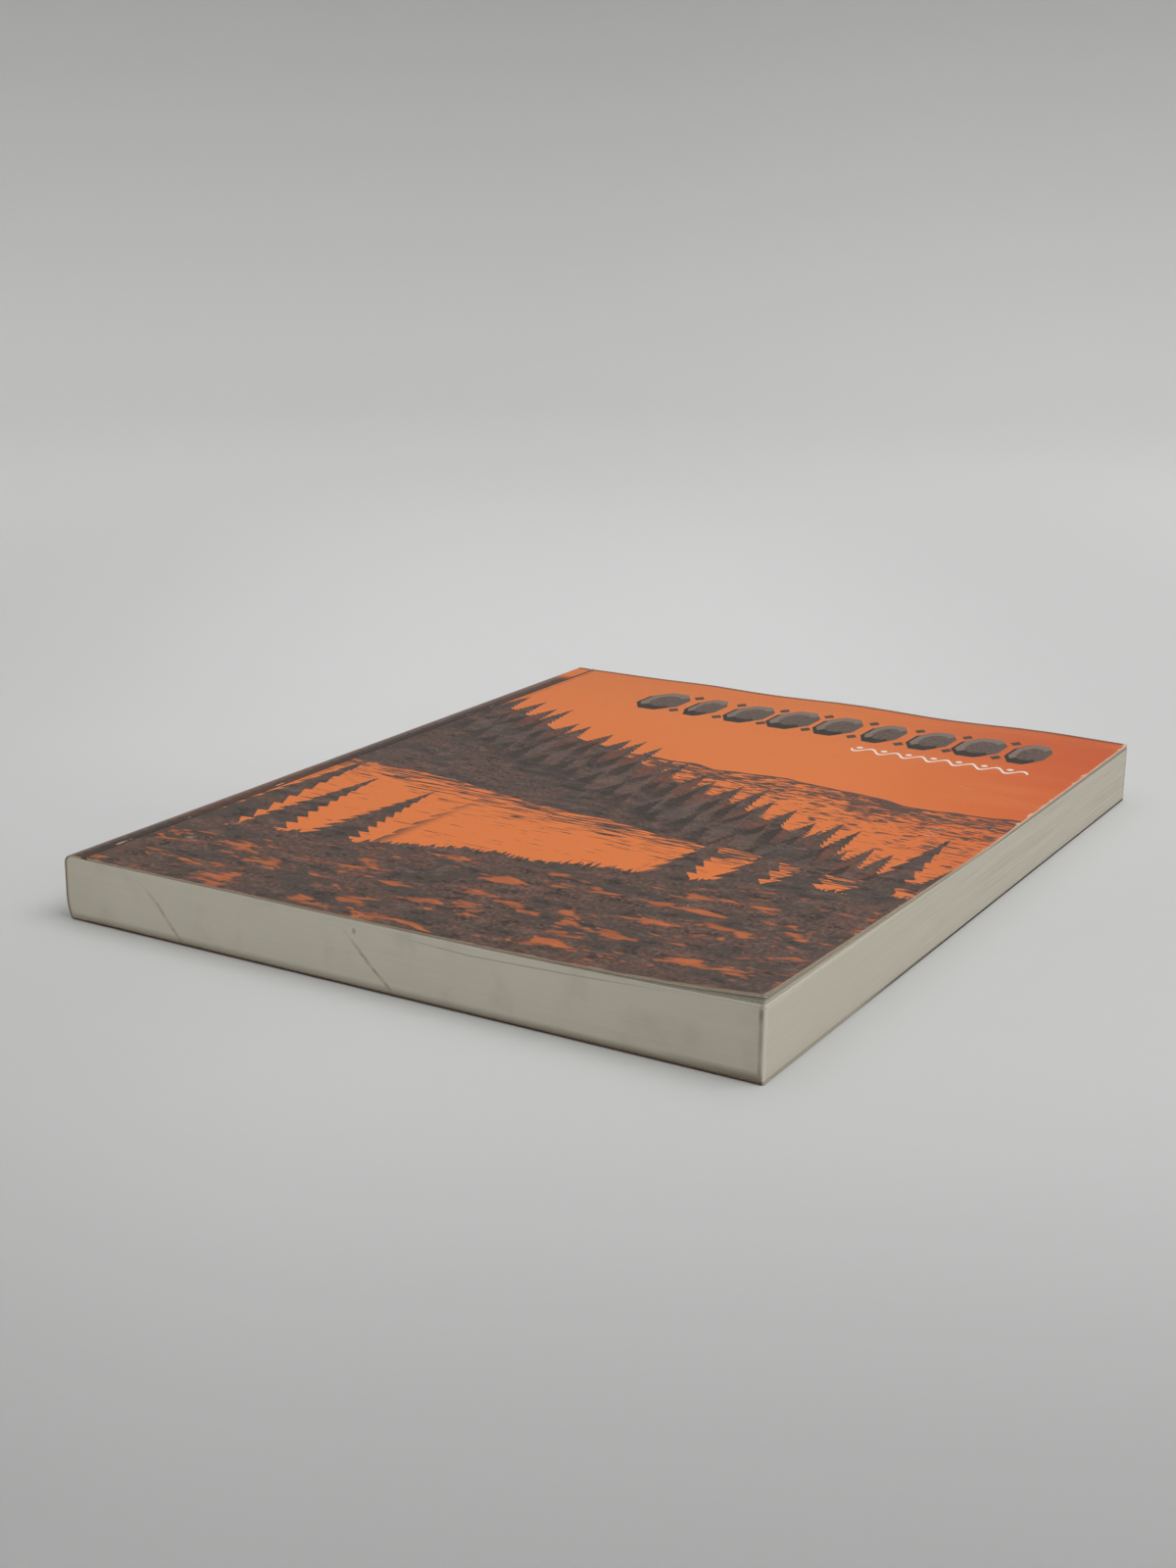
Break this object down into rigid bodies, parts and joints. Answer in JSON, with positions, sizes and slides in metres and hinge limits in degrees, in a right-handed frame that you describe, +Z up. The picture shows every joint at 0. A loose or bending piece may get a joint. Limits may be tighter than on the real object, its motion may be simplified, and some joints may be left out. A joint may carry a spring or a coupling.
{
  "type": "paperback book",
  "caption": "Paperback book lying closed: glued block of trimmed leaves in a card cover that wraps the spine, creased beside it, with a curled front corner.",
  "frame": {"origin": "under the middle of the closed book's outline, on the plane that its back cover lies on", "axes": "+X from the spine to the fore-edge, +Y from the tail to the head of the page, +Z up out of the front cover"},
  "size_m": [0.1902, 0.246, 0.0198],
  "materials": {
    "leaves": "uncoated off-white paper with trimmed edges",
    "cover_card": "printed card with a low satin coating, pale at its cut edges",
    "binding_glue": "hot-melt glue, off-white"
  },
  "bodies": {
    "block": {"text_block": "leaves", "binding_glue": "binding_glue", "spine_cover": "cover_card"},
    "front": {"front_cover": "cover_card"},
    "back": {"back_cover": "cover_card"}
  },
  "joints": [
    {"name": "front_cover_crease", "type": "hinge", "parent": "block", "child": "front", "pos_m": [-0.0886, 0, 0.01655], "axis": [0, -1, 0], "range_deg": [0, 180]},
    {"name": "back_cover_crease", "type": "hinge", "parent": "block", "child": "back", "pos_m": [-0.0886, 0, -0.00005], "axis": [0, 1, 0], "range_deg": [0, 180]}
  ]
}
